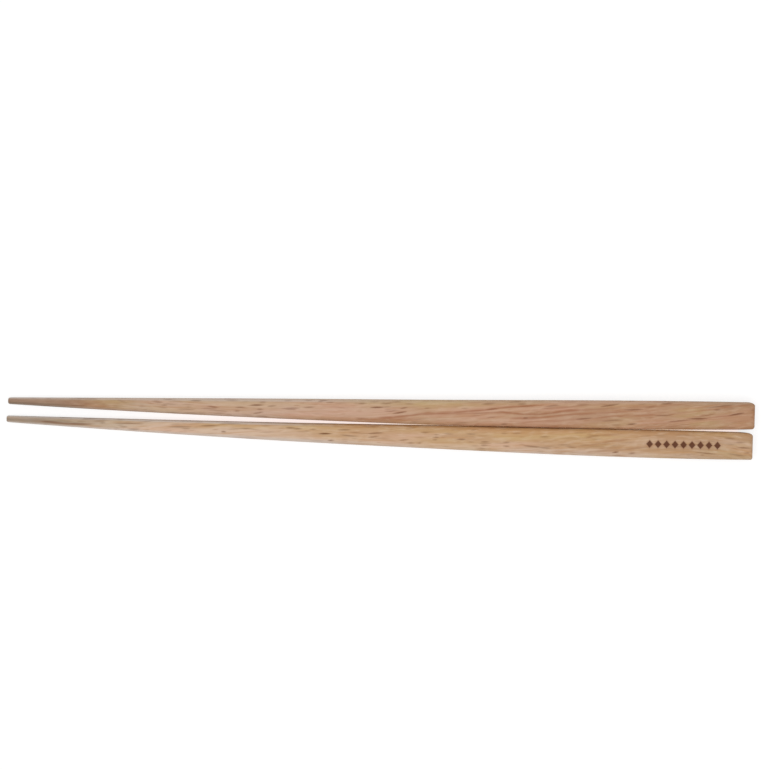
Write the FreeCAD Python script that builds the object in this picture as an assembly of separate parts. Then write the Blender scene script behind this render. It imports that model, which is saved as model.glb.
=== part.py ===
import FreeCAD, Part
import math
import os

# A pair of wooden chopsticks lying side by side on a table.
# X runs along the pair from tips to heads, +Y goes from the front stick to the rear one, +Z is up.
# The origin is under the middle of the pair, on the table.

# Driving dimensions in millimetres, the same for both sticks
stickLength = 230.0
headWidth = 9.0             # the stick is square, so this is its height too
tipWidth = 2.08
headEase = 0.62             # how much the stick gets thinner again at the very head
headEaseLength = 46.0       # and over what length
headCornerRadius = 1.3      # the four long edges where they reach the head
tipCornerShare = 0.88       # the same edges at the tip, as a share of half the tip's width
headEndRound = 1.0          # the edge round the sawn head end
tipEndRound = 0.5           # the edge round the tip's end

# What hand finishing left different in each stick
rearTaperPower = 2.0        # 1 is a straight taper, more keeps the stick thick for longer
rearBow = 0.8               # how far the middle bends out of line, towards the front
frontTaperPower = 1.58
frontBow = 0.9

# How the two lie beside each other
spreadAngle = 0.93          # degrees between them, open at the tips
frontSetback = 0.4          # the front stick lies this much further towards the tips
pairGap = 0.06              # clearance where the two come nearest
meetBend = 0.12             # how far each bends towards the other where their sides first meet
meetPlace = 0.566           # where that is, as a share of the length from the tip
meetLength = 25.0           # how far the bend reaches to either side

# Fineness of the shape
stationCount = 19           # sections that a stick is drawn through
sampleCount = 460           # places along a stick where sizes are compared
roundLimit = 0.85           # an end's round is at most this share of the long edges' radius there


class Stick:
    # One stick: square in section, thinning along a curve from head to tip.
    # Its own place runs from 0 at the tip to 1 at the head.

    def __init__(self, taperPower, bow, side):
        # The side is 1 for the rear stick and -1 for the front one
        self.taperPower = taperPower
        self.bow = bow
        self.side = side
        self.yaw = side * math.radians(spreadAngle) / 2
        self.middleX = side * frontSetback / 2
        self.middleY = 0.0
        self.pitch, self.axisHeight = self.restOnTable()

    def width(self, place):
        taper = (headWidth - tipWidth) * (1 - place) ** self.taperPower
        eased = max(0.0, 1 - (1 - place) * stickLength / headEaseLength)
        return headWidth - taper - headEase * eased ** 2

    def cornerRadius(self, place):
        # Nearly round at the tip, crisp at the head
        headShare = 2 * headCornerRadius / headWidth
        share = headShare + (tipCornerShare - headShare) * (1 - place) ** 2
        return share * self.width(place) / 2

    def along(self, place):
        return stickLength * (place - 0.5)

    def x(self, place):
        return self.middleX + self.along(place)

    def y(self, place):
        bend = self.bow * 4 * place * (1 - place)
        meeting = meetBend * math.exp(-((place - meetPlace) * stickLength / meetLength) ** 2)
        return self.middleY + self.along(place) * math.tan(self.yaw) - bend - self.side * meeting

    def z(self, place):
        return self.axisHeight + self.along(place) * self.pitch

    def balancePlace(self):
        # Where the stick would balance on a finger
        areas = [(place, self.width(place) ** 2) for place in places()]
        return sum(place * area for place, area in areas) / sum(area for _, area in areas)

    def restOnTable(self):
        # The underside bulges a little, so the stick tips until it touches below its balance point
        place = self.balancePlace()
        step = 1 / sampleCount
        pitch = (self.width(place + step) - self.width(place - step)) / (4 * step * stickLength)
        return pitch, self.width(place) / 2 - self.along(place) * pitch

    def section(self, place):
        half = self.width(place) / 2
        radius = self.cornerRadius(place)
        middle = FreeCAD.Vector(self.x(place), self.y(place), self.z(place))
        return roundedSquare(middle, half, radius)

    def build(self):
        stations = [number / (stationCount - 1) for number in range(stationCount)]
        body = Part.makeLoft([self.section(place) for place in stations], True)
        body = roundEnd(body, self.x(1), min(headEndRound, roundLimit * self.cornerRadius(1)))
        return roundEnd(body, self.x(0), min(tipEndRound, roundLimit * self.cornerRadius(0)))


def places():
    return [(number + 0.5) / sampleCount for number in range(sampleCount)]


def roundedSquare(middle, half, radius):
    # A wire square to X: four straight sides joined by quarter circles
    flat = half - radius
    bulge = flat + radius * math.sqrt(0.5)
    edges = []
    for quarter in range(4):
        turn = FreeCAD.Rotation(FreeCAD.Vector(1, 0, 0), 90 * quarter)
        ahead = FreeCAD.Rotation(FreeCAD.Vector(1, 0, 0), 90 * quarter + 90)
        start = middle + turn.multVec(FreeCAD.Vector(0, half, -flat))
        sideEnd = middle + turn.multVec(FreeCAD.Vector(0, half, flat))
        corner = middle + turn.multVec(FreeCAD.Vector(0, bulge, bulge))
        nextSide = middle + ahead.multVec(FreeCAD.Vector(0, half, -flat))
        edges.append(Part.makeLine(start, sideEnd))
        edges.append(Part.Arc(sideEnd, corner, nextSide).toShape())
    return Part.Wire(edges)


def roundEnd(body, endX, radius):
    # Softens the edge round a flat end
    edges = [edge for edge in body.Edges
             if abs(edge.BoundBox.XMin - endX) < radius / 4 and abs(edge.BoundBox.XMax - endX) < radius / 4]
    return body.makeFillet(radius, edges)


def layPair(rear, front):
    # Moves the two sideways until they nearly touch, with the pair's outer sides even about the middle
    def facingSide(stick, x, side):
        place = (x - stick.middleX) / stickLength + 0.5
        return stick.y(place) + side * stick.width(place) / 2

    shared = [rear.x(place) for place in places() if rear.x(place) < front.x(1)]
    apart = min(facingSide(rear, x, -1) - facingSide(front, x, 1) for x in shared)
    rear.middleY = pairGap - apart
    rearOuter = max(rear.y(place) + rear.width(place) / 2 for place in places())
    frontOuter = min(front.y(place) - front.width(place) / 2 for place in places())
    middle = (rearOuter + frontOuter) / 2
    rear.middleY -= middle
    front.middleY -= middle


def export(shape, name):
    solid = shape.Solids[0]
    print(name, "solids", len(shape.Solids), "valid", solid.isValid(), "volume", round(solid.Volume, 1))
    solid.exportStep("parts/" + name + ".step")


rearStick = Stick(rearTaperPower, rearBow, 1)
frontStick = Stick(frontTaperPower, frontBow, -1)
layPair(rearStick, frontStick)

os.makedirs("parts", exist_ok=True)
export(rearStick.build(), "rear_chopstick")
export(frontStick.build(), "front_chopstick")
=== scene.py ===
import math
import random

import bpy
import numpy as np
from mathutils import Matrix, Vector


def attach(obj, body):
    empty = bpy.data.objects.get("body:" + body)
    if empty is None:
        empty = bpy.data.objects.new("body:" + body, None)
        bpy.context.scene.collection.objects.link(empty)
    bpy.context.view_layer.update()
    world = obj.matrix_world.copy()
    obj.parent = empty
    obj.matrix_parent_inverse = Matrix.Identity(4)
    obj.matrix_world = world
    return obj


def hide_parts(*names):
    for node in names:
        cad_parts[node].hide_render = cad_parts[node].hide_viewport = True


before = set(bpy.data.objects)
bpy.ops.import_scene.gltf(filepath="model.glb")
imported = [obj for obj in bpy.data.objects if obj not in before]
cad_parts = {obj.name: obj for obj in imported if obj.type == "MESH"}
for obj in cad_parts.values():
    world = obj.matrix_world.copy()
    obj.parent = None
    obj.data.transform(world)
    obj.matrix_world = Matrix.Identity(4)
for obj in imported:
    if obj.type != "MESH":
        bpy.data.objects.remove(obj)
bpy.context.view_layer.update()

mm = 0.001

# Two wooden chopsticks lie side by side, tips at -X and square heads at +X.
# Lengths in the dictionaries are millimetres. "along" is measured from a stick's tip, "across"
# from the middle of a side, and on the top side it grows towards the rear.


def shade(red, green, blue):
    # A colour as it shows on a screen, 0 to 255, as the linear colour that the nodes take
    def linear(part):
        return part / 12.92 if part < 0.04045 else ((part + 0.055) / 1.055) ** 2.4

    return linear(red / 255), linear(green / 255), linear(blue / 255), 1


class Wire:
    # Wraps a node's output, so that a sum written in Python becomes Math nodes

    def __init__(self, finish, socket):
        self.finish = finish
        self.socket = socket

    def math(self, operation, *values):
        return self.finish.node("ShaderNodeMath", {"operation": operation}, values)

    def output(self, key):
        # Another output of the same node
        return Wire(self.finish, self.socket.node.outputs[key])

    def __add__(self, other):
        return self.math("ADD", self, other)

    def __radd__(self, other):
        return self.math("ADD", other, self)

    def __sub__(self, other):
        return self.math("SUBTRACT", self, other)

    def __rsub__(self, other):
        return self.math("SUBTRACT", other, self)

    def __mul__(self, other):
        return self.math("MULTIPLY", self, other)

    def __rmul__(self, other):
        return self.math("MULTIPLY", other, self)

    def __truediv__(self, other):
        return self.math("DIVIDE", self, other)

    def __abs__(self):
        return self.math("ABSOLUTE", self)

    def fade(self, start, end, low=0.0, high=1.0):
        # Turns smoothly from low to high as the value goes from start to end
        ends = {"From Min": start, "From Max": end, "To Min": low, "To Max": high}
        return self.finish.node("ShaderNodeMapRange", {"interpolation_type": "SMOOTHSTEP"},
                                {"Value": self, **ends})


class Finish:
    # The nodes of one material, or of the world

    def __init__(self, owner):
        self.owner = owner
        owner.use_nodes = True
        self.tree = owner.node_tree
        self.tree.nodes.clear()

    def node(self, kind, settings=None, sockets=None, output=0):
        node = self.tree.nodes.new(kind)
        for name, value in (settings or {}).items():
            if name == "stops":
                setStops(node.color_ramp, value)
            else:
                setattr(node, name, value)
        pairs = sockets.items() if isinstance(sockets, dict) else enumerate(sockets or ())
        for key, value in pairs:
            if isinstance(value, Wire):
                self.tree.links.new(value.socket, node.inputs[key])
            else:
                node.inputs[key].default_value = value
        return Wire(self, node.outputs[output]) if node.outputs else None

    def stretch(self, vector, factors):
        return self.node("ShaderNodeVectorMath", {"operation": "MULTIPLY"}, [vector, factors])

    def noise(self, vector, factors, detail=1.0, roughness=0.5):
        return self.node("ShaderNodeTexNoise", {},
                         {"Vector": self.stretch(vector, factors), "Scale": 1.0, "Detail": detail,
                          "Roughness": roughness})

    def mix(self, factor, first, second):
        return self.node("ShaderNodeMix", {"data_type": "RGBA"}, {0: factor, 6: first, 7: second}, output=2)

    def attribute(self, name):
        return self.node("ShaderNodeAttribute", {"attribute_name": name}, {}, "Fac")

    def parts(self, vector):
        first = self.node("ShaderNodeSeparateXYZ", {}, [vector])
        return first, first.output(1), first.output(2)

    def attributeParts(self, name):
        return self.parts(self.node("ShaderNodeAttribute", {"attribute_name": name}, {}, "Vector"))


def setStops(ramp, stops):
    while len(ramp.elements) < len(stops):
        ramp.elements.new(1.0)
    for element, (place, colour) in zip(ramp.elements, stops):
        element.position = place
        element.color = colour


# Shape: each stick is a fine skin over its CAD node, with the open pores cut into it

skin = {
    "sideColumns": 44,      # quads across each flat side
    "cornerColumns": 8,     # quads round each long edge
    "ringStep": 0.62,
    "markRingStep": 0.3,    # finer rings under the burnt ornament
    "endRings": 16,         # rings from the end's rim to its middle
    "roundRings": 6,        # rings round an end's edge
    "sliceCount": 160,      # slices through the CAD node
    "sliceMargins": (0.8, 1.2),     # how far they stay from the rounded ends of tip and head
    "fitDegree": 12,
    "inset": 0.025,         # how far the skin lies inside the solid
    "grainDegree": 6,
}


def sliceNode(corners, edges, x):
    # The middle, half width and corner radius of a cut square to X
    starts, ends = corners[edges[:, 0]], corners[edges[:, 1]]
    crossing = (starts[:, 0] - x) * (ends[:, 0] - x) < 0
    starts, ends = starts[crossing], ends[crossing]
    share = (x - starts[:, 0]) / (ends[:, 0] - starts[:, 0])
    cut = starts + share[:, None] * (ends - starts)
    y, z = cut[:, 1], cut[:, 2]
    centreY, centreZ = (y.min() + y.max()) / 2, (z.min() + z.max()) / 2
    half = (y.max() - y.min() + z.max() - z.min()) / 4
    reach = (abs(y - centreY) + abs(z - centreZ)).max()
    return centreY, centreZ, half, (2 * half - reach) / (2 - math.sqrt(2))


def readShape(nodeName):
    # The stick's centre line, half width and corner radius as smooth functions of x, from its CAD node
    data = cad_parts[nodeName].data
    corners = np.array([vertex.co for vertex in data.vertices]) / mm
    edges = np.array([edge.vertices for edge in data.edges])
    low, high = corners[:, 0].min(), corners[:, 0].max()
    tipMargin, headMargin = skin["sliceMargins"]
    places = np.linspace(low + tipMargin, high - headMargin, skin["sliceCount"])
    slices = np.array([sliceNode(corners, edges, x) for x in places])
    fit = np.polynomial.Polynomial.fit
    curves = [fit(places, slices[:, part], skin["fitDegree"]) for part in range(4)]
    return {"low": low, "high": high, **dict(zip(("centreY", "centreZ", "half", "radius"), curves))}


def ringPoints(half, radius):
    # Points of a rounded square from the top side's front edge round to the rear and on, with outward
    # directions, the side each belongs to and how far it is across that side
    flat = half - radius
    points, outward, sides, across = [], [], [], []
    for side in range(4):
        turn = -math.pi / 2 * side
        tangent = np.array([math.cos(turn), math.sin(turn)])
        normal = np.array([-math.sin(turn), math.cos(turn)])
        for number in range(skin["sideColumns"]):
            offset = flat * (2 * number / skin["sideColumns"] - 1)
            points.append(tangent * offset + normal * half)
            outward.append(normal)
            across.append(offset)
        for number in range(skin["cornerColumns"]):
            angle = math.pi / 2 * number / skin["cornerColumns"]
            direction = tangent * math.sin(angle) + normal * math.cos(angle)
            points.append((tangent + normal) * flat + direction * radius)
            outward.append(direction)
            across.append(flat + radius * angle)
        sides += [side] * (skin["sideColumns"] + skin["cornerColumns"])
    return np.array(points), np.array(outward), np.array(sides), np.array(across)


def ringPlan(stick, length):
    # Every ring from tip to head: distance from the tip's face, which end's round it is on (-1, 0 or 1),
    # how far round that is in radians, and the share of the rim that is left on the end's face
    plan = [(0.0, -1, 0.0, number / skin["endRings"]) for number in range(1, skin["endRings"])]
    turns = [math.pi / 2 * number / skin["roundRings"] for number in range(skin["roundRings"] + 1)]
    plan += [(0.0, -1, turn, 1.0) for turn in turns]
    along = max(stick["tipRound"][0]) + skin["ringStep"]
    mark = stick["ornament"]
    while along < length - max(stick["headRound"][0]) - skin["ringStep"] / 2:
        plan.append((along, 0, math.pi / 2, 1.0))
        fine = mark and mark["start"] - 1 < along < mark["end"] + 1
        along += skin["markRingStep"] if fine else skin["ringStep"]
    plan += [(length, 1, turn, 1.0) for turn in reversed(turns)]
    return plan + [(length, 1, 0.0, 1 - number / skin["endRings"]) for number in range(1, skin["endRings"])]


def layRings(stick, shape):
    # Arrays of rings by columns: places, outward directions, side, along, across, the half of a side's
    # reach round its edges, how far to the rear a point is, from -1 to 1, how much it belongs to a long
    # edge, less than 0 on the front ones, and how much to an end's face
    rows = []
    for start, end, turn, left in ringPlan(stick, shape["high"] - shape["low"]):
        x = shape["low"] + start
        half, radius = float(shape["half"](x)) - skin["inset"], float(shape["radius"](x))
        points, outward, sides, across = ringPoints(half, radius)
        toRearEdge = (outward[:, 0] + 1) / 2
        lengthwise, sideways = [front + (rear - front) * toRearEdge
                                for front, rear in (stick["headRound"] if end > 0 else stick["tipRound"])]
        inset = sideways * (1 - math.sin(turn))
        points = (points - outward * inset[:, None]) * left
        back = lengthwise * (1 - math.cos(turn)) if end else 0.0
        along = start - end * back + np.zeros(len(points))
        centre = np.array([float(shape["centreY"](x)), float(shape["centreZ"](x))])
        place = np.column_stack([shape["low"] + along, points + centre])
        halves = np.full(len(points), half - radius + math.pi / 4 * radius)
        edge = 2 * outward[:, 0] * abs(outward[:, 1]) * math.sin(turn)
        endFace = np.full(len(points), 1 - math.sin(turn))
        rows.append((place, outward, along, across * left, halves, points[:, 0] / half, edge, endFace))
    places, outward, *values = [np.array(column) for column in zip(*rows)]
    normals = np.concatenate([np.zeros(outward.shape[:2] + (1,)), outward], axis=-1)
    return places, normals, sides, *values


def unrolled(side, sides, across, halves):
    # How far across one side each point is, with the two sides next to it folded into its plane
    folded = np.where(sides == side, across, np.nan)
    folded = np.where(sides == (side - 1) % 4, across - 2 * halves, folded)
    return np.where(sides == (side + 1) % 4, across + 2 * halves, folded)


def strokeWeight(along, across, stroke):
    # A stroke's strength on its middle line, 0 away from it, thinning to its two ends
    start, middle, length, rise, width, strength = stroke
    share = (along - start) / length
    line = middle + rise * share
    body = np.clip(1 - (2 * share - 1) ** 2, 0, 1)
    spread = width * (0.4 + 0.6 * body)
    return strength * np.sqrt(body) * np.exp(-((across - line) / spread) ** 2) * (body > 0)


smallPores = {
    "count": 90,                        # on each side of a stick
    "margins": (3, 8),                  # from the tip and from the head
    "length": (1, 7, 2.5),              # least, greatest and most common
    "width": (0.12, 0.2),               # least and greatest
    "strength": (0.1, 0.75, 0.25),      # least, greatest and most common
    "tilt": 0.012,                      # how much the slope varies
    "topShare": 0.7,                    # how strong they are on the top, beside the listed ones
    # How much the top, rear side, underside and front side show of the grain's drift
    "driftShare": (1.0, 0.3, 1.0, 0.3),
}


def scatterPores(shape, grain, chance):
    # Smaller pores on all four sides, following the grain
    strokes = []
    length = shape["high"] - shape["low"]
    tipMargin, headMargin = smallPores["margins"]
    slope = grain.deriv()
    for side, driftShare in enumerate(smallPores["driftShare"]):
        for _ in range(smallPores["count"]):
            along = chance.uniform(tipMargin, length - headMargin)
            reach = float(shape["half"](shape["low"] + along))
            poreLength = chance.triangular(*smallPores["length"])
            rise = poreLength * (float(slope(along)) * driftShare + chance.gauss(0, smallPores["tilt"]))
            strength = chance.triangular(*smallPores["strength"]) * (1.0 if side else smallPores["topShare"])
            across = chance.uniform(-reach, reach)
            width = chance.uniform(*smallPores["width"])
            strokes.append((side, (along, across, poreLength, rise, width, strength)))
    return strokes


def markVertices(along, folded, strokes):
    # The strongest stroke at each vertex
    weight = np.zeros(along.shape)
    for side, stroke in strokes:
        near = (along[:, 0] > stroke[0]) & (along[:, 0] < stroke[0] + stroke[2])
        rows = np.nonzero(near)[0]
        if len(rows):
            block = slice(rows[0], rows[-1] + 1)
            found = np.nan_to_num(strokeWeight(along[block], folded[side][block], stroke), nan=0.0)
            weight[block] = np.maximum(weight[block], found)
    return weight


def lineStrokes(stick):
    # Each piece of a growth line overlaps its neighbours, so that a line has no gap at a bend
    strokes = []
    for strength, line in stick["growthLinesAndCreviceShade"]:
        for (start, low), (end, high) in zip(line, line[1:]):
            slope = (high - low) / (end - start)
            lap = 0.35 * (end - start)
            strokes.append((0, (start - lap, low - lap * slope, end - start + 2 * lap,
                                (high - low) + 2 * lap * slope, stick["lineWidth"], strength)))
    return strokes


def softPatches(along, across, patches):
    # Broad spots of another tint on the top side
    weight = np.zeros(along.shape)
    for middle, height, length, width, strength in patches:
        spot = np.exp(-((along - middle) / length) ** 2 - ((across - height) / width) ** 2)
        weight += strength * np.nan_to_num(spot, nan=0.0)
    return np.clip(weight, 0, 1)


def addLayer(mesh, name, values):
    # Values for every ring point and then for the middles of the tip's and the head's face
    kind = "FLOAT_VECTOR" if values.ndim > 1 else "FLOAT"
    layer = mesh.attributes.new(name, kind, "POINT")
    layer.data.foreach_set("vector" if values.ndim > 1 else "value", values.astype(np.float32).ravel())


def buildStick(stick):
    shape = readShape(stick["node"])
    grain = np.polynomial.Polynomial.fit(*zip(*stick["grainPath"]), skin["grainDegree"])
    places, normals, sides, along, across, halves, toRear, edge, endFace = layRings(stick, shape)
    folded = [unrolled(side, sides, across, halves) for side in range(4)]

    chosen = [(0, (start, middle, length, rise, stick["poreWidth"], strength))
              for start, middle, length, rise, strength in stick["pores"]]
    scattered = scatterPores(shape, grain, random.Random(stick["seed"]))
    pores = markVertices(along, folded, chosen + scattered) * (1 - endFace)
    lines = markVertices(along, folded, lineStrokes(stick)) * (1 - endFace)
    places -= normals * (pores * stick["poreDepth"])[..., None]

    ringCount, columns = along.shape
    vertices = (places.reshape(-1, 3) * mm).tolist()
    tipMiddle, headMiddle = len(vertices), len(vertices) + 1
    for x in (shape["low"], shape["high"]):
        vertices.append((x * mm, float(shape["centreY"](x)) * mm, float(shape["centreZ"](x)) * mm))
    faces = []
    for first in range(0, (ringCount - 1) * columns, columns):
        for column in range(columns):
            after = (column + 1) % columns
            faces.append((first + column, first + after, first + columns + after, first + columns + column))
    last = (ringCount - 1) * columns
    for column in range(columns):
        after = (column + 1) % columns
        faces.append((tipMiddle, after, column))
        faces.append((headMiddle, last + column, last + after))
    mesh = bpy.data.meshes.new(stick["name"])
    mesh.from_pydata(vertices, [], faces)
    mesh.update()
    mesh.shade_smooth()

    offTop = 99.0               # stands for across wherever it isn't the top side
    topAcross = np.where(sides == 0, across, offTop)
    length = shape["high"] - shape["low"]
    tints = [softPatches(along, folded[0], stick["patches"][name]) for name in ("gold", "pink", "brownAndShade")]
    addLayer(mesh, "pore", np.append(pores, [0, 0]))
    addLayer(mesh, "growthLine", np.append(lines, [0, 0]))
    addLayer(mesh, "edge", np.append(edge, [0, 0]))
    addLayer(mesh, "endFace", np.append(endFace, [1, 1]))
    addLayer(mesh, "drift", np.append(grain(along), [grain(0), grain(length)]))
    addLayer(mesh, "place", np.append(np.stack([along, topAcross, toRear], axis=-1).reshape(-1, 3),
                                      [(0, offTop, 0), (length, offTop, 0)], axis=0))
    addLayer(mesh, "tint", np.append(np.stack(tints, axis=-1).reshape(-1, 3), np.zeros((2, 3)), axis=0))
    piece = bpy.data.objects.new(stick["name"], mesh)
    bpy.context.scene.collection.objects.link(piece)
    print(stick["name"], "triangles", 2 * columns * ringCount)
    return piece


# Wood: pale hardwood with drifting bands, fine fibres and short dark pores

tipReaches = {                  # along, where each starts and where it is whole
    "tipToneAndShading": (34, 8),
    "outerEdgeSheen": (120, 85),
    "innerEdgeSheen": (112, 70),
}


def woodFinish(stick):
    finish = Finish(bpy.data.materials.new(stick["slot"]))
    look = stick["wood"]
    objectPoint = finish.node("ShaderNodeTexCoord", {}, {}, "Object")
    point = finish.node("ShaderNodeVectorMath", {"operation": "MULTIPLY_ADD"},
                        [objectPoint, (1 / mm,) * 3, look["shift"]])
    x, y, z = finish.parts(point)
    along, across, toRear = finish.attributeParts("place")
    gold, pink, brownAndShade = finish.attributeParts("tint")
    pores = finish.attribute("pore")
    lines = finish.attribute("growthLine")

    # The grain drifts sideways along the stick and wavers
    waver = (finish.noise(point, (0.02, 0.08, 0.08)) - 0.5) * look["waver"]
    grain = finish.node("ShaderNodeCombineXYZ", {},
                        [x, y - finish.attribute("drift") + waver, z + waver * 0.6])

    wander = finish.noise(point, (0.045, 0.2, 0.2), detail=2.0)
    blush = finish.noise(grain, (0.03, 0.3, 0.3), detail=2.0)
    bands = finish.noise(grain, (0.01, 0.6, 0.6), detail=2.0)
    mottle = finish.noise(grain, (0.25, 1.1, 1.1), detail=2.0)
    streaks = finish.noise(grain, (0.05, 1.9, 1.9), detail=2.0)
    fibres = finish.noise(grain, (0.12, 4.2, 4.2), detail=2.5, roughness=0.6)
    cells = finish.node("ShaderNodeTexVoronoi", {},
                        {"Vector": finish.stretch(grain, (0.2, 1.7, 1.7)), "Scale": 1.0})
    cellTint = finish.node("ShaderNodeSeparateColor", {}, [cells.output("Color")])
    dashes = (1 - cells.fade(0.08, 0.3)) * cellTint.fade(0.3, 0.9)

    stops = [(at / look["along"][-1][0], shade(*colour)) for at, colour in look["along"]]
    colour = finish.node("ShaderNodeValToRGB", {"stops": stops}, [along / look["along"][-1][0]])
    # Painted light and shade on the top's long edges: paler where light falls, darker beside the other stick
    rearShadingShare = along.fade(*look["rearReach"]) * look["rearShadingShare"]
    frontShadingShare = along.fade(*look["frontReach"]) * look["frontShadingShare"]
    colour = finish.mix(toRear.fade(0.1, 1.0) * rearShadingShare, colour, shade(*look["rear"]))
    colour = finish.mix(toRear.fade(-0.3, -1.0) * frontShadingShare, colour, shade(*look["front"]))
    colour = finish.mix(gold * 0.6 + wander.fade(0.42, 0.62) * 0.35, colour, shade(*look["gold"]))
    colour = finish.mix(pink * 0.6 + blush.fade(0.48, 0.66) * 0.45, colour, shade(*look["pink"]))
    # Brown spots, some of them painted shade where the sticks touch
    colour = finish.mix(brownAndShade * 0.6 + bands.fade(0.5, 0.72) * 0.3, colour, shade(*look["late"]))
    colour = finish.mix(mottle.fade(0.45, 0.7) * 0.3, colour, shade(*look["pale"]))
    colour = finish.mix(streaks.fade(0.48, 0.72) * 0.5, colour, shade(*look["late"]))
    colour = finish.mix(fibres.fade(0.5, 0.75) * 0.3, colour, shade(*look["line"]))
    colour = finish.mix(dashes * 0.45, colour, shade(*look["line"]))

    # The tips are greyer; across them the rear and front colours are painted light and shade of the rounded
    # section
    crossways = toRear + look["tipShadingShift"]
    tipToneAndShading = finish.mix(crossways.fade(0.1, 0.8), shade(*look["tipToneAndShading"]), shade(*look["tipRearShading"]))
    tipToneAndShading = finish.mix(crossways.fade(0.1, -0.7), tipToneAndShading, shade(*look["tipFrontShading"]))
    colour = finish.mix(along.fade(*tipReaches["tipToneAndShading"]) * 0.75, colour, tipToneAndShading)

    # Painted sheen: the long edges are paler, those between the sticks only where the two stand apart
    edge = finish.attribute("edge") * abs(toRear).fade(0.5, 0.85) * look["outerSide"]
    outerEdgeSheen = edge.fade(0.0, 0.9) * along.fade(*tipReaches["outerEdgeSheen"], *look["outerEdgeSheen"])
    innerEdgeSheen = edge.fade(0.0, -0.9) * along.fade(*tipReaches["innerEdgeSheen"], 0.0, look["innerEdgeSheen"])
    colour = finish.mix(outerEdgeSheen + innerEdgeSheen, colour, shade(*look["edge"]))

    # End grain is darker and shows the rings round the pith
    crossing = finish.node("ShaderNodeCombineXYZ", {}, [0.0, y, z])
    fromPith = finish.node("ShaderNodeVectorMath", {"operation": "DISTANCE"}, [crossing, look["pith"]], 1)
    ringPlace = finish.node("ShaderNodeCombineXYZ", {}, [fromPith, waver, 0.0])
    rings = finish.noise(ringPlace, (1.0, 0.4, 1.0), detail=2.0)
    endGrain = finish.attribute("endFace") * (rings.fade(0.4, 0.6) * 0.4 + 0.2)
    colour = finish.mix(endGrain, colour, shade(*look["line"]))
    # Growth lines, and painted shade down the crevice between the sticks
    colour = finish.mix(lines, colour, shade(*look["line"]))
    colour = finish.mix(pores, colour, shade(*look["pore"]))

    rough = 0.5 + fibres * 0.12 + pores * 0.2
    if stick["ornament"]:
        burn, scorch = ornament(stick["ornament"], along, across)
        colour = finish.mix(scorch * 0.25, colour, shade(*stick["ornament"]["scorched"]))
        colour = finish.mix(burn * (1 - fibres * 0.15), colour, shade(*stick["ornament"]["burnt"]))
        rough = rough + burn * 0.15
    height = fibres * 0.25 - dashes * 0.4 - lines * 0.2
    bump = finish.node("ShaderNodeBump", {}, {"Strength": 0.5, "Distance": 0.06 * mm, "Height": height})
    shader = finish.node("ShaderNodeBsdfPrincipled", {},
                         {"Base Color": colour, "Roughness": rough, "Normal": bump, "IOR": 1.45,
                          "Specular IOR Level": 0.25})
    finish.node("ShaderNodeOutputMaterial", {}, [shader])
    return finish.owner


def ornament(mark, along, across):
    # A row of burnt lozenges and the scorched rim round them
    step = (mark["end"] - mark["start"]) / mark["count"]
    cell = along.math("PINGPONG", along - mark["start"], step / 2)
    lozenge = (step / 2 - cell) / (mark["width"] / 2) + abs(across) / (mark["height"] / 2)
    within = along.fade(mark["start"] - 0.4, mark["start"]) * along.fade(mark["end"] + 0.4, mark["end"])
    return lozenge.fade(1.2, 0.8) * within, lozenge.fade(1.8, 0.9) * within


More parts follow.
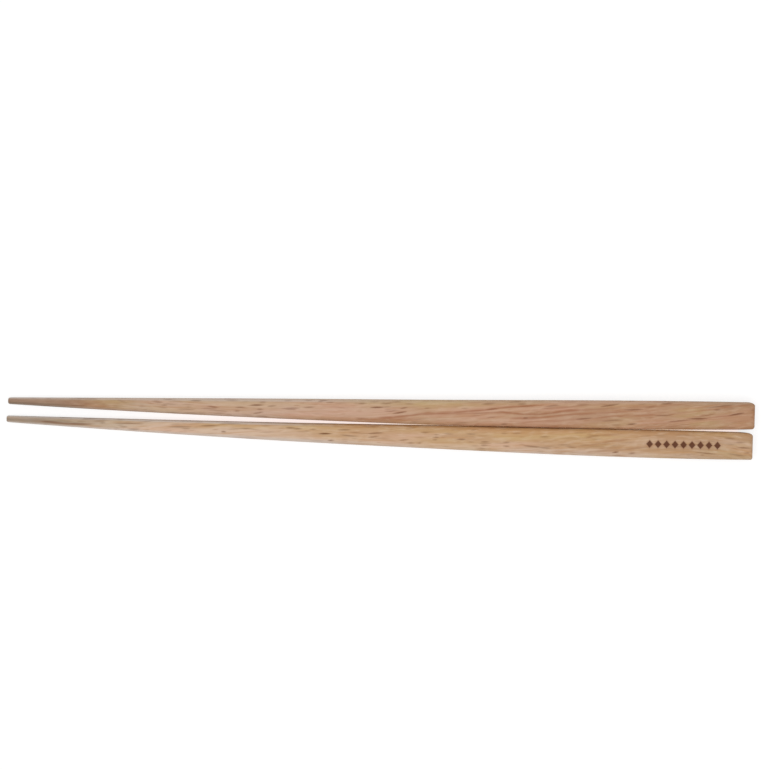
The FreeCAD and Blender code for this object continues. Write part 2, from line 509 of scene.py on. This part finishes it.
rearStick = {
    "name": "rearStick",
    "node": "rear_chopstick",
    "slot": "rear_wood",
    "seed": 11,
    # How far the edge round an end's face is rounded, lengthwise and sideways, at its front and its rear
    "tipRound": ((0.6, 0.6), (0.5, 0.5)),
    "headRound": ((0.8, 2.5), (0.8, 1.1)),
    "poreWidth": 0.24,
    "poreDepth": 0.09,
    "lineWidth": 0.36,
    # How far the grain has drifted to the rear, (along, drift)
    "grainPath": [(0, 0), (60, 0.6), (110, 1.5), (135, 3.0), (150, 4.4), (165, 5.4), (180, 7.0),
                  (200, 9.6), (215, 11.6), (230, 13.8)],
    # (along, across, length, rise towards the rear, strength)
    "pores": [
        (19.3, -0.9, 3, 0, 0.5), (22, -0.9, 2, 0, 0.4), (33.5, 1.4, 3.5, -0.9, 0.45),
        (44.5, 1.3, 3.6, -0.4, 0.65), (47.5, 0.1, 1.8, 0.1, 0.5), (48, 2.1, 1.5, 0, 0.4),
        (40.5, -0.4, 2, 0, 0.2), (52, -1.0, 6, 0.1, 0.45), (56.3, 1.85, 3.6, 0, 0.65),
        (55, -0.2, 1.6, 0, 0.3), (61.5, 0.25, 3.8, -0.45, 0.55), (60, -0.5, 3, 0.1, 0.3),
        (63.5, -1.9, 4, 0, 0.4), (58.5, -2.1, 3, 0, 0.3), (67, 2.25, 4.5, 0, 0.45),
        (70.3, 0.05, 3, 0.1, 0.55), (70, -1.1, 1.7, 0.1, 0.45), (74.8, 0.85, 4.2, 0.15, 0.9),
        (77.4, 1.75, 2.7, 0.15, 0.55), (80, 0.6, 3, 0.3, 0.55), (76.8, -0.35, 2.2, 0, 0.55),
        (75.6, -1.75, 3.4, 0.6, 0.65), (84.5, 0.05, 6, 0.35, 0.55), (91, 0.5, 4, 0.3, 0.5),
        (85, 2.6, 3, 0.1, 0.35), (91.5, 2.8, 2.5, 0.1, 0.35), (95.5, 2.6, 2, 0.2, 0.45),
        (98.2, 2.35, 2.6, 0.05, 0.45), (108, 2.2, 2.7, 0.15, 0.6), (111.7, 1.05, 4.4, 0.2, 0.85),
        (111.5, 2.85, 3, 0.1, 0.35), (115, 2.2, 3.8, 0.4, 0.5), (115, 1.2, 3.5, 0.3, 0.35),
        (118.8, 3.1, 2.7, 0.1, 0.45), (122.3, 2.3, 3.2, 0.3, 0.35), (118.7, -0.65, 4.6, 0.75, 0.8),
        (121, 0.9, 2.4, 0.5, 0.6), (118.5, 0.3, 1.4, 0.2, 0.35), (145.8, 2.7, 4.8, 0.4, 0.6),
        (156.8, 2.85, 3.2, 0.1, 0.55), (155.3, 3.7, 3.2, 0.1, 0.5), (152, -3.4, 2.2, 0.05, 0.75),
        (165.3, 2.25, 4.8, 0.45, 0.5), (158.8, -1.35, 1.8, 0.05, 0.7), (182.3, 2.4, 6.2, 0.95, 0.75),
        (175, 2.9, 4, 0.1, 0.4), (189.6, 1.5, 6, 0.2, 0.65), (175, -1.6, 5.2, 0.5, 0.65),
        (183, -2.1, 7, 0.7, 0.45), (190.8, -2.95, 3, 0.25, 0.85), (186, -3.2, 3.2, 0.1, 0.35),
        (199.2, -0.2, 5.5, 0.25, 0.55), (200.8, 3.45, 3.7, 0.2, 0.6), (203, -2.1, 7, 0.8, 0.45),
        (209.3, -1.0, 6.2, 0.1, 0.85), (217.3, 1.8, 2.3, 0.1, 0.5), (221.8, 0.1, 5, 0.85, 0.95),
        (228.7, 1.7, 1.2, 0.1, 0.45), (220.5, -3.6, 4, 0, 0.35), (214.5, 2.3, 9, 1.15, 0.5),
    ],
    # (strength, the points that the line passes through)
    "growthLinesAndCreviceShade": [
        (0.7, [(115, -2.1), (119, -1.75), (124, -1.15), (127.5, -0.6), (132, -0.4), (137, -0.1), (142, 0.5),
               (147, 0.95), (152, 1.65), (157, 2.1), (162, 2.5)]),
        (0.5, [(110, -2.7), (117, -2.45), (125, -2.2)]),
        (0.45, [(133, -0.5), (142, -0.1), (149, 0.15), (153, 0.35)]),
        (0.7, [(152, 0.4), (155.5, 0.1), (159, -0.2), (164, -0.15), (167.5, 0.3), (171, 0.85), (176, 1.3)]),
        (0.6, [(156, -1.5), (160, -1.4), (164, -1.1), (168.5, -0.65), (174, -0.1), (180, 0.3)]),
        (0.4, [(165, 1.5), (168.5, 1.9), (173, 2.2), (178, 2.8), (184, 3.2)]),
        (0.35, [(157, -3.0), (164, -2.3), (170, -2.1), (176, -1.4)]),
        (0.4, [(175, 1.3), (181, 1.55), (187, 2.0)]),
        (0.4, [(181, 0.25), (186, 0.65), (191, 1.1)]),
        (0.4, [(182, -1.0), (187, -0.5), (192, -0.15), (199, 0.0)]),
        (0.35, [(206, -1.9), (212, -1.2), (217, -0.5), (222, -0.1)]),
        (0.4, [(219, 2.7), (224, 3.1), (229, 3.5)]),
        (0.3, [(204, 0.4), (211, 1.3), (217, 1.9)]),
        (0.3, [(193, 2.3), (200, 2.7), (208, 3.4)]),
        (0.7, [(149, -4.5), (157, -4.6), (165, -4.6), (172, -4.5)]),        # painted shade in the crevice, down by the front stick
    ],
    # (along, across, reach along, reach across, strength)
    "patches": {
        "gold": [(135, 2.6, 26, 1.5, 0.9), (33, 0.8, 9, 1.0, 0.5), (100, 2.6, 14, 1.0, 0.5),
                 (186, 3.0, 12, 1.0, 0.5), (211, 1.5, 5, 1.0, 0.6), (212, -2.2, 5, 0.9, 0.6),
                 (205, -0.5, 6, 1.2, 0.3)],
        "pink": [(58, -0.2, 9, 1.2, 0.2), (118, 0.4, 6, 0.9, 0.8), (105, -0.8, 14, 1.0, 0.7),
                 (160, -2.2, 13, 1.4, 0.8), (171, 1.3, 7, 0.8, 0.7), (194, 1.0, 8, 1.5, 0.4),
                 (145, 0.6, 8, 0.5, 0.5), (10, 0.3, 6, 0.6, 0.4)],
        # the brown spots at 150 and 180 by the front edge are painted shade where the sticks touch
        "brownAndShade": [(24, -0.2, 7, 1.0, 0.8), (104, -2.7, 16, 0.6, 0.9), (120, -2.6, 8, 0.6, 0.7),
                  (150, -3.6, 30, 0.7, 0.6), (140, -0.6, 14, 0.7, 0.35), (180, -3.9, 16, 0.6, 0.5),
                  (160, 2.4, 12, 0.5, 0.4), (226, -2.0, 5, 2.6, 0.7)],
    },
    "ornament": None,
    "wood": {
        "shift": (0.0, 0.0, 0.0),       # where in the grain's noise the stick lies
        "waver": 2.0,
        # The top side's colour, (along, colour)
        "along": [(0, (124, 108, 96)), (4, (138, 120, 106)), (13, (138, 118, 102)), (19, (132, 106, 84)),
                  (30, (154, 124, 100)), (45, (192, 166, 142)), (70, (196, 164, 144)),
                  (110, (192, 160, 134)), (145, (183, 148, 117)), (175, (176, 138, 109)),
                  (210, (168, 127, 96)), (230, (140, 100, 66))],
        "rear": (188, 158, 124),        # painted light and shade on the rear edge
        "rearShadingShare": 0.5,
        "rearReach": (0, 10),           # along, where it starts and where it is whole
        # painted shade on the front edge, beside the front stick
        "front": (172, 132, 104),
        "frontShadingShare": 0.45,
        "frontReach": (0, 10),
        "tipToneAndShading": (150, 120, 99),         # the tip's middle
        # painted light and shade across the tip, at its rear and at its front
        "tipRearShading": (176, 151, 135),
        "tipFrontShading": (114, 94, 77),
        "tipShadingShift": 0.0,               # how far these three lie to the front, 1 being half a side
        "edge": (204, 188, 176),        # painted sheen on the long edges
        "outerEdgeSheen": (0.15, 0.65),      # their share towards the head and towards the tip
        "innerEdgeSheen": 0.28,              # and at the tip on the side of the other stick
        "outerSide": 1,                 # 1 if the rear side is the outer one, else -1
        "pith": (0, -9, -16),           # the middle of the growth rings after that shift, x being unused
        "gold": (188, 160, 114),
        "pink": (197, 150, 128),
        "late": (172, 122, 84),
        "pale": (208, 178, 152),
        "line": (146, 87, 50),          # fibres, dashes, growth lines, end grain and the painted shade in the crevice
        "pore": (112, 66, 38),
    },
}

frontStick = {
    "name": "frontStick",
    "node": "front_chopstick",
    "slot": "front_wood",
    "seed": 23,
    "tipRound": ((0.6, 0.6), (0.5, 0.5)),
    "headRound": ((0.6, 2.4), (0.6, 1.0)),
    "poreWidth": 0.24,
    "poreDepth": 0.09,
    "lineWidth": 0.36,
    "grainPath": [(0, 0), (60, 1.6), (110, 3.4), (150, 4.2), (170, 5.0), (180, 6.2), (190, 7.6),
                  (200, 8.4), (215, 8.0), (230, 6.8)],
    "pores": [
        (10.5, -0.24, 6, -0.1, 0.7), (13.5, -0.5, 7, -0.15, 0.6), (18.5, -0.6, 8, 0.25, 0.8),
        (29, 0.2, 1.6, 0.1, 0.45), (33, 0.3, 9.7, 0.35, 0.6), (35, -0.65, 2.6, 0.05, 0.5),
        (33, -1.3, 2, 0, 0.35), (37.4, -1.4, 4.2, 0.2, 0.6), (50, -0.05, 7.5, 0.35, 0.6),
        (54.3, -0.4, 2.8, 0.15, 0.45), (50.5, 0.8, 4, 0, 0.3), (60, 0.75, 6.2, 0.3, 0.55),
        (66.6, -0.75, 1.3, 0, 0.8), (67, 1.8, 6, 0.15, 0.45), (71.3, 0.4, 5.4, 0.2, 0.5),
        (79, 1.6, 2.5, 0.1, 0.3), (86.2, 1.25, 3.2, 0.05, 0.65), (88.4, 1.05, 3, 0.1, 0.55),
        (96.6, -0.1, 4, 0.05, 1.0), (99.5, -2.2, 1.8, 0.1, 0.8), (102.4, 1.2, 4.2, 0.25, 0.55),
        (103.2, -0.3, 5.5, -0.35, 0.55), (111.4, 0.35, 5.2, 0.5, 0.65), (111.7, -0.8, 3.2, 0.4, 0.55),
        (110, 2.6, 5, 0.1, 0.4), (121.3, -1.4, 3, 0.4, 0.5), (123.8, -2.1, 2.2, 0.1, 0.5),
        (127, -2.0, 1.4, 0.1, 0.45), (128, 1.2, 2.6, 0.2, 0.45), (132, 0.8, 1.5, 0, 0.4),
        (131.8, -0.1, 2, 0.1, 0.55), (131.7, -0.85, 1.6, 0.1, 0.45), (123.5, 2.6, 3, 0.1, 0.4),
        (134.8, 1.25, 3.3, -0.2, 0.4), (141.8, 1.35, 3.3, 0, 0.5), (139.2, -0.4, 2.8, 0.05, 0.7),
        (146.3, -0.95, 2.8, 0.1, 0.55), (146.3, -2.0, 2.3, 0.1, 0.5), (145.8, -3.1, 2.1, 0.1, 0.55),
        (153.3, -0.85, 2.3, 0.1, 0.5), (153.3, -2.0, 2.3, 0, 0.55), (152.5, 1.9, 2.2, 0, 0.35),
        (159.3, -1.65, 6.3, -0.35, 0.6), (164.3, -2.05, 3.8, -0.15, 0.55), (164.3, 1.2, 3.3, 0.2, 0.45),
        (156, 2.0, 3, 0.1, 0.35), (170, -1.1, 4, 0.2, 0.35), (172.6, -1.45, 3.3, -0.3, 0.5),
        (187, -2.9, 1.9, 0.2, 0.85), (191.8, -3.1, 2.3, 0.15, 0.65), (209.5, -3.0, 1.6, 0, 0.35),
        (212.3, -2.2, 6.5, -0.45, 0.6), (221, 2.3, 3.6, -0.1, 0.5), (224.4, 1.1, 3.3, 0, 0.45),
        (225, -0.5, 4.4, -0.05, 0.65), (227.3, -2.0, 1.8, 0, 0.5), (222, -2.4, 6.3, -0.75, 0.5),
        (221.5, 0.4, 3, 0, 0.25), (199, 2.6, 5, 0.1, 0.25), (206, 3.0, 6, -0.1, 0.25),
    ],
    "growthLinesAndCreviceShade": [
        (0.3, [(9, -0.25), (13.4, -0.27), (17.1, -0.46), (19.9, -0.7), (21.9, -0.68), (24.7, -0.35),
               (27, -0.15)]),
        (0.5, [(179, 1.5), (183, 2.15), (188.5, 2.7)]),
        (0.45, [(179, -1.0), (183.5, -0.2), (187, 0.6), (191, 1.1)]),
        (0.5, [(180.5, -2.9), (186, -2.35), (191, -1.9), (197, -1.0)]),
        (0.3, [(172, 1.0), (177, 1.1), (182, 1.4)]),
        (0.3, [(176, -1.4), (182, -1.7), (188, -1.3)]),
        (0.3, [(170, -2.9), (177, -3.2), (184, -3.4)]),
        (0.25, [(196, -2.2), (203, -1.7), (210, -1.9)]),
        (0.7, [(146, 4.0), (155, 4.15), (163, 4.2), (172, 4.1)]),           # painted shade in the crevice, down by the rear stick
    ],
    "patches": {
        "gold": [(17, 0.35, 6, 0.4, 0.9), (66, 1.4, 14, 0.8, 0.6), (95, 2.2, 12, 0.9, 0.7),
                 (34, 1.4, 5, 0.6, 0.7), (140, 2.2, 30, 1.2, 0.7), (180, 2.6, 12, 1.4, 0.7),
                 (206, -2.2, 12, 0.9, 0.5), (182, -1.2, 10, 0.8, 0.4), (158, 0.6, 10, 1.0, 0.5)],
        "pink": [(44, -1.2, 10, 0.9, 0.9), (58, -1.6, 14, 0.8, 0.6), (76, 0.0, 10, 0.7, 0.4),
                 (121, 0.0, 12, 1.2, 0.5), (152, -1.6, 9, 1.2, 0.4), (196, 0.6, 8, 1.5, 0.4),
                 (136, -2.6, 14, 0.8, 0.4)],
        # the brown spot at 165 by the rear edge is painted shade where the sticks touch
        "brownAndShade": [(18, -0.8, 6, 0.4, 0.5), (38, 0.6, 5, 0.4, 0.7), (58, 0.5, 9, 0.6, 0.5),
                  (99, 2.4, 6, 0.5, 0.8), (165, 3.3, 30, 0.7, 0.9), (156, 2.4, 18, 0.8, 0.9),
                  (125, 3.0, 12, 0.5, 0.6), (102, -0.2, 10, 0.5, 0.3), (228, -2.0, 4, 2.0, 0.5)],
    },
    "ornament": {
        "start": 197.0,             # along
        "end": 220.4,
        "count": 9,
        "width": 2.1,               # of one lozenge
        "height": 2.4,
        "burnt": (84, 42, 20),
        "scorched": (146, 96, 60),
    },
    "wood": {
        "shift": (40.0, 25.0, 12.0),
        "waver": 2.0,
        "along": [(0, (130, 116, 102)), (4, (140, 126, 112)), (13, (146, 130, 114)),
                  (19, (160, 140, 120)), (25, (188, 166, 142)), (34, (190, 170, 147)),
                  (45, (204, 182, 160)), (70, (207, 180, 156)), (95, (196, 162, 131)),
                  (120, (187, 148, 110)), (180, (184, 147, 112)), (210, (178, 142, 110)),
                  (230, (174, 146, 119))],
        # painted shade on the rear edge, beside the rear stick
        "rear": (178, 134, 92),
        "rearShadingShare": 0.8,
        "rearReach": (20, 120),
        # painted highlight on the front edge
        "front": (208, 186, 169),
        "frontShadingShare": 0.95,
        "frontReach": (232, 178),
        "edge": (212, 202, 194),
        "outerEdgeSheen": (0.0, 0.45),
        "innerEdgeSheen": 0.7,
        "outerSide": -1,
        "pith": (0, 38, 2),
        "tipToneAndShading": (139, 123, 106),
        "tipRearShading": (180, 161, 143),
        "tipFrontShading": (164, 147, 132),
        "tipShadingShift": 0.18,
        "gold": (197, 165, 114),
        "pink": (210, 174, 150),
        "late": (182, 134, 88),
        "pale": (218, 194, 168),
        "line": (150, 100, 60),
        "pore": (112, 70, 38),
    },
}

for stick in (rearStick, frontStick):
    piece = buildStick(stick)
    piece.data.materials.append(woodFinish(stick))
    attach(piece, "root")
    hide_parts(stick["node"])
print("sticks done")


# Studio: white floor, soft light from above and a little in front, camera straight above

studio = {
    "floorSize": 4.0,           # metres
    "floorDrop": 0.00002,       # metres below the sticks, so that the two never share a plane
    "floorGrey": 0.85,
    "seenGrey": 0.3,            # the floor's share of lit colour in direct view
    "seenGlow": 0.75,           # and what is added to it there, so that it shows white
    # Between the sticks that glow is painted warm bounce light and painted shade, fading out: for red, green
    # and blue, how open to the sky the floor is where it is full, its share where the gap closes and its
    # full share
    "creviceGlow": [(0.014, 0.08, 1.2), (0.022, 0.03, 0.98), (0.032, 0.01, 0.91)],
    "skyShut": 0.004,           # how open to the sky the floor is where the gap closes
    "skyWhite": 0.42,           # and where nothing warm is left
    "creviceSide": (0.00216, 0.0018),   # where it ends and is whole, in metres from the middle
    "creviceEnd": (0.1125, 0.11),       # and the same towards the heads
    "skyReach": 0.02,           # metres, how near a stick must be to count as closing the gap
    "worldStrength": 0.5,
    "lampPower": 4.1,
    "lampSize": 0.4,            # metres
    "lampPlace": (0.0, -0.08, 0.9),
}


def seenDirectly(finish):
    # 1 where a picture, a reflection or a look through glass meets the surface, else 0
    path = finish.node("ShaderNodeLightPath", {}, {}, "Is Camera Ray")
    seen = path
    for name in ("Is Glossy Ray", "Is Transmission Ray"):
        seen = seen.math("MAXIMUM", seen, path.output(name))
    return seen


# Painted shade and warm bounced light in the floor's glow between the sticks, from how open it is to the sky
def creviceColour(finish):
    sky = finish.node("ShaderNodeAmbientOcclusion", {"samples": 96}, {"Distance": studio["skyReach"]}, "AO")
    parts = [sky.fade(studio["skyShut"], full, low, high) for full, low, high in studio["creviceGlow"]]
    warm = finish.node("ShaderNodeCombineColor", {}, parts)
    return finish.mix(sky.fade(0.0, studio["skyWhite"]), warm, (1, 1, 1, 1))


def floorFinish():
    finish = Finish(bpy.data.materials.new("whiteFloor"))
    seen = seenDirectly(finish)
    point = finish.node("ShaderNodeTexCoord", {}, {}, "Object")
    speckle = finish.noise(point, (40.0, 40.0, 40.0))
    grey = studio["floorGrey"] + seen * (studio["seenGrey"] - studio["floorGrey"]) + (speckle - 0.5) * 0.01
    lit = finish.node("ShaderNodeBsdfDiffuse", {}, {"Color": grey})
    strength = seen * studio["seenGlow"]
    glow = finish.node("ShaderNodeEmission", {}, {"Color": (1, 1, 1, 1), "Strength": strength})
    crevice = finish.node("ShaderNodeEmission", {}, {"Color": creviceColour(finish), "Strength": strength})
    x, y = finish.parts(point)[:2]
    between = abs(y).fade(*studio["creviceSide"]) * x.fade(*studio["creviceEnd"])
    glow = finish.node("ShaderNodeMixShader", {}, [between, glow, crevice])
    both = finish.node("ShaderNodeAddShader", {}, [lit, glow])
    finish.node("ShaderNodeOutputMaterial", {}, [both])
    return finish.owner


def buildFloor():
    half = studio["floorSize"] / 2
    mesh = bpy.data.meshes.new("floor")
    corners = [(-half, -half), (half, -half), (half, half), (-half, half)]
    mesh.from_pydata([(x, y, -studio["floorDrop"]) for x, y in corners], [], [(0, 1, 2, 3)])
    floor = bpy.data.objects.new("floor", mesh)
    bpy.context.scene.collection.objects.link(floor)
    mesh.materials.append(floorFinish())


def buildWorld():
    sky = Finish(bpy.data.worlds.new("studioWorld"))
    strength = studio["worldStrength"] + seenDirectly(sky) * (1 - studio["worldStrength"])
    background = sky.node("ShaderNodeBackground", {}, {"Color": (1, 1, 1, 1), "Strength": strength})
    sky.node("ShaderNodeOutputWorld", {}, [background])
    bpy.context.scene.world = sky.owner


def buildLamp():
    lamp = bpy.data.lights.new("softLight", "AREA")
    lamp.energy = studio["lampPower"]
    lamp.size = studio["lampSize"]
    holder = bpy.data.objects.new("softLight", lamp)
    holder.location = studio["lampPlace"]
    holder.rotation_euler = (-Vector(studio["lampPlace"])).to_track_quat("-Z", "Y").to_euler()
    bpy.context.scene.collection.objects.link(holder)


buildFloor()
buildWorld()
buildLamp()

view = {
    "distance": 1.0,            # metres above the sticks' middle height
    "frameWidth": 0.2374,       # metres across the picture at that height
    "middleHeight": 0.0045,
    "sensor": 36.0,
    "roll": 1.63,               # degrees that the pair slopes down to the right in the picture
    "right": 0.00169,           # metres from the pair to the picture's middle, in the picture
    "up": 0.01105,
}


def buildCamera():
    lens = bpy.data.cameras.new("camera")
    lens.sensor_width = view["sensor"]
    lens.lens = view["sensor"] * view["distance"] / view["frameWidth"]
    lens.clip_end = 20
    camera = bpy.data.objects.new("camera", lens)
    turn = Matrix.Rotation(math.radians(view["roll"]), 3, "Z")
    centre = turn @ Vector((view["right"], view["up"], 0))
    camera.location = centre + Vector((0, 0, view["middleHeight"] + view["distance"]))
    camera.rotation_euler = (0, 0, math.radians(view["roll"]))
    bpy.context.scene.collection.objects.link(camera)
    bpy.context.scene.camera = camera


buildCamera()
bpy.context.scene.view_settings.view_transform = "Standard"
print("studio done")
